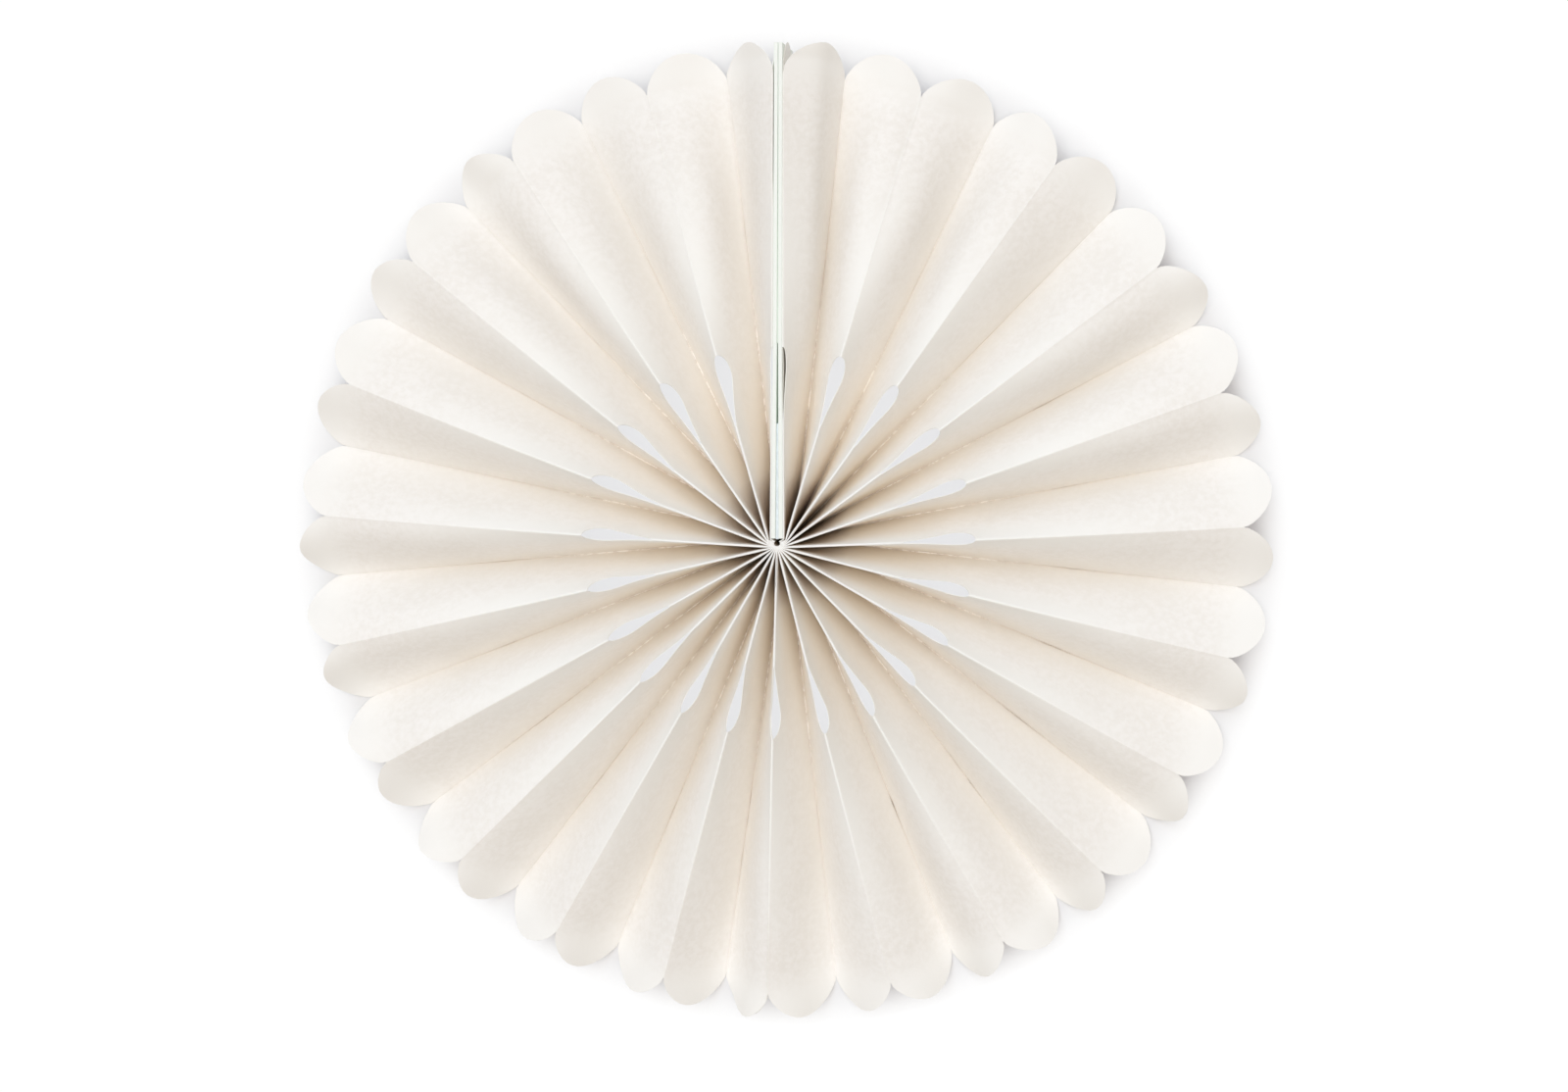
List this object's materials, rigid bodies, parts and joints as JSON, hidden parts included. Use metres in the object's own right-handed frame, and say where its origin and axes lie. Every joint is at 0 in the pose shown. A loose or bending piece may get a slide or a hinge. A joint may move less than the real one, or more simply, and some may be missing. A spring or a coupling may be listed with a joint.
{
  "type": "paper fan rosette",
  "caption": "Round pleated paper fan rosette with a scalloped rim and teardrop cut-outs, its two end cards taped back to back in one radial seam.",
  "frame": {"origin": "on the hub's axis, in the plane that the back folds and the back edges of the cards rest on", "axes": "+Z out of the front face along the hub's axis; +Y from the hub along the seam; +X to the right, seen from the front"},
  "size_m": [0.2498, 0.2498, 0.0208],
  "materials": {
    "sheet_paper": "matt, fine grain",
    "end_card": "matt, cut edge",
    "tape_film": "adhesive film",
    "foam_tape": "matt foam"
  },
  "bodies": {
    "root": {"paper_sheet_right": "sheet_paper", "paper_sheet_left": "sheet_paper", "card_right": "end_card", "card_left": "end_card", "rim_film": "tape_film", "hub_pad": "foam_tape"}
  },
  "joints": []
}
